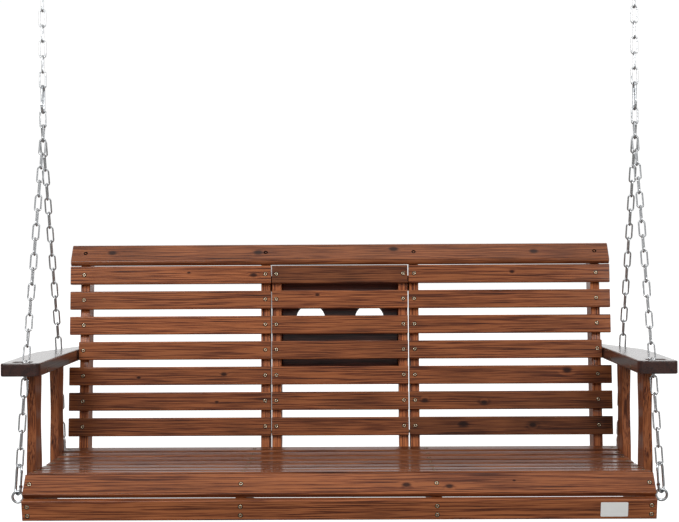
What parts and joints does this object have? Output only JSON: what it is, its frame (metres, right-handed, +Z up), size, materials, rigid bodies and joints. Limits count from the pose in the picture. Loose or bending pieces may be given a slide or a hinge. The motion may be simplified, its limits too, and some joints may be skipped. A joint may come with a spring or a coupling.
{
  "type": "porch swing seat",
  "caption": "Slatted wooden porch swing bench hung on forked chains, with curved arms and a fold-down cup-holder console in its back.",
  "frame": {"origin": "midway between the two ceiling hooks, on the axis of their lowest wire, which is the line that the bench swings about", "axes": "+X along the bench to the sitter's left (the right of the front view), +Y to the rear, +Z up"},
  "size_m": [1.538, 0.6626, 1.3271],
  "materials": {
    "red_brown_stained_wood": "satin",
    "dark_stained_wood": "gloss",
    "galvanised_chain": "satin",
    "zinc_plated_fittings": "satin",
    "zinc_plated_screws": "satin",
    "pale_plate": "satin"
  },
  "bodies": {
    "ceiling_hooks": {"left_ceiling_hook": "zinc_plated_fittings", "right_ceiling_hook": "zinc_plated_fittings"},
    "bench": {"left_upper_chain": "galvanised_chain", "right_upper_chain": "galvanised_chain", "left_front_chain": "galvanised_chain", "right_front_chain": "galvanised_chain", "left_rear_chain": "galvanised_chain", "right_rear_chain": "galvanised_chain", "upper_snap_hooks": "zinc_plated_fittings", "front_snap_hooks": "zinc_plated_fittings", "rear_snap_hooks": "zinc_plated_fittings", "snap_hook_pins": "zinc_plated_fittings", "front_eye_bolts": "zinc_plated_fittings", "rear_eye_bolts": "zinc_plated_fittings", "eye_bolt_nuts": "zinc_plated_fittings", "seat_slat_1": "red_brown_stained_wood", "seat_slat_2": "red_brown_stained_wood", "seat_slat_3": "red_brown_stained_wood", "seat_slat_4": "red_brown_stained_wood", "seat_slat_5": "red_brown_stained_wood", "seat_slat_6": "red_brown_stained_wood", "seat_slat_7": "red_brown_stained_wood", "nose_slat": "red_brown_stained_wood", "front_apron": "red_brown_stained_wood", "name_plate": "pale_plate", "left_outer_joist": "red_brown_stained_wood", "left_inner_joist": "red_brown_stained_wood", "right_inner_joist": "red_brown_stained_wood", "right_outer_joist": "red_brown_stained_wood", "left_outer_post": "red_brown_stained_wood", "left_inner_post": "red_brown_stained_wood", "right_inner_post": "red_brown_stained_wood", "right_outer_post": "red_brown_stained_wood", "left_back_slats": "red_brown_stained_wood", "right_back_slats": "red_brown_stained_wood", "cap_rail": "red_brown_stained_wood", "console_stop_rail": "red_brown_stained_wood", "left_arm": "dark_stained_wood", "right_arm": "dark_stained_wood", "left_front_support": "red_brown_stained_wood", "left_rear_support": "red_brown_stained_wood", "right_front_support": "red_brown_stained_wood", "right_rear_support": "red_brown_stained_wood", "console_hinge_bolts": "zinc_plated_screws", "seat_screws": "zinc_plated_screws", "back_screws": "zinc_plated_screws", "arm_screws": "zinc_plated_screws", "frame_bolts": "zinc_plated_screws", "frame_nuts": "zinc_plated_screws"},
    "console": {"console_slats": "red_brown_stained_wood", "left_console_stile": "red_brown_stained_wood", "right_console_stile": "red_brown_stained_wood", "console_table": "dark_stained_wood", "console_screws": "zinc_plated_screws"},
    "left_upper_snap_gate": {"left_upper_gate": "zinc_plated_fittings"},
    "right_upper_snap_gate": {"right_upper_gate": "zinc_plated_fittings"},
    "left_front_snap_gate": {"left_front_gate": "zinc_plated_fittings"},
    "right_front_snap_gate": {"right_front_gate": "zinc_plated_fittings"},
    "left_rear_snap_gate": {"left_rear_gate": "zinc_plated_fittings"},
    "right_rear_snap_gate": {"right_rear_gate": "zinc_plated_fittings"}
  },
  "joints": [
    {"name": "swing", "type": "hinge", "parent": "ceiling_hooks", "child": "bench", "pos_m": [0, 0, 0], "axis": [1, 0, 0], "range_deg": [-30, 30]},
    {"name": "console_fold", "type": "hinge", "parent": "bench", "child": "console", "pos_m": [0, 0.14419, -1.1035], "axis": [1, 0, 0], "range_deg": [0, 95.7]},
    {"name": "left_upper_gate_pivot", "type": "hinge", "parent": "bench", "child": "left_upper_snap_gate", "pos_m": [-0.736, -0.013, -0.26965], "axis": [-1, 0, 0], "range_deg": [0, 22], "stiffness_Nm_per_rad": 0.02, "springref_deg": -17.19},
    {"name": "right_upper_gate_pivot", "type": "hinge", "parent": "bench", "child": "right_upper_snap_gate", "pos_m": [0.736, -0.013, -0.26965], "axis": [-1, 0, 0], "range_deg": [0, 22], "stiffness_Nm_per_rad": 0.02, "springref_deg": -17.19},
    {"name": "left_front_gate_pivot", "type": "hinge", "parent": "bench", "child": "left_front_snap_gate", "pos_m": [-0.72132, -0.31888, -1.16656], "axis": [-0.7872, -0.6098, 0.0921], "range_deg": [0, 22], "stiffness_Nm_per_rad": 0.02, "springref_deg": -17.19},
    {"name": "right_front_gate_pivot", "type": "hinge", "parent": "bench", "child": "right_front_snap_gate", "pos_m": [0.72132, -0.31888, -1.16656], "axis": [-0.7872, 0.6098, -0.0921], "range_deg": [0, 22], "stiffness_Nm_per_rad": 0.02, "springref_deg": -17.19},
    {"name": "left_rear_gate_pivot", "type": "hinge", "parent": "bench", "child": "left_rear_snap_gate", "pos_m": [-0.72244, 0.18404, -1.16705], "axis": [-0.7877, -0.615, -0.0363], "range_deg": [0, 22], "stiffness_Nm_per_rad": 0.02, "springref_deg": -17.19},
    {"name": "right_rear_gate_pivot", "type": "hinge", "parent": "bench", "child": "right_rear_snap_gate", "pos_m": [0.72244, 0.18404, -1.16705], "axis": [-0.7877, 0.615, 0.0363], "range_deg": [0, 22], "stiffness_Nm_per_rad": 0.02, "springref_deg": -17.19}
  ]
}
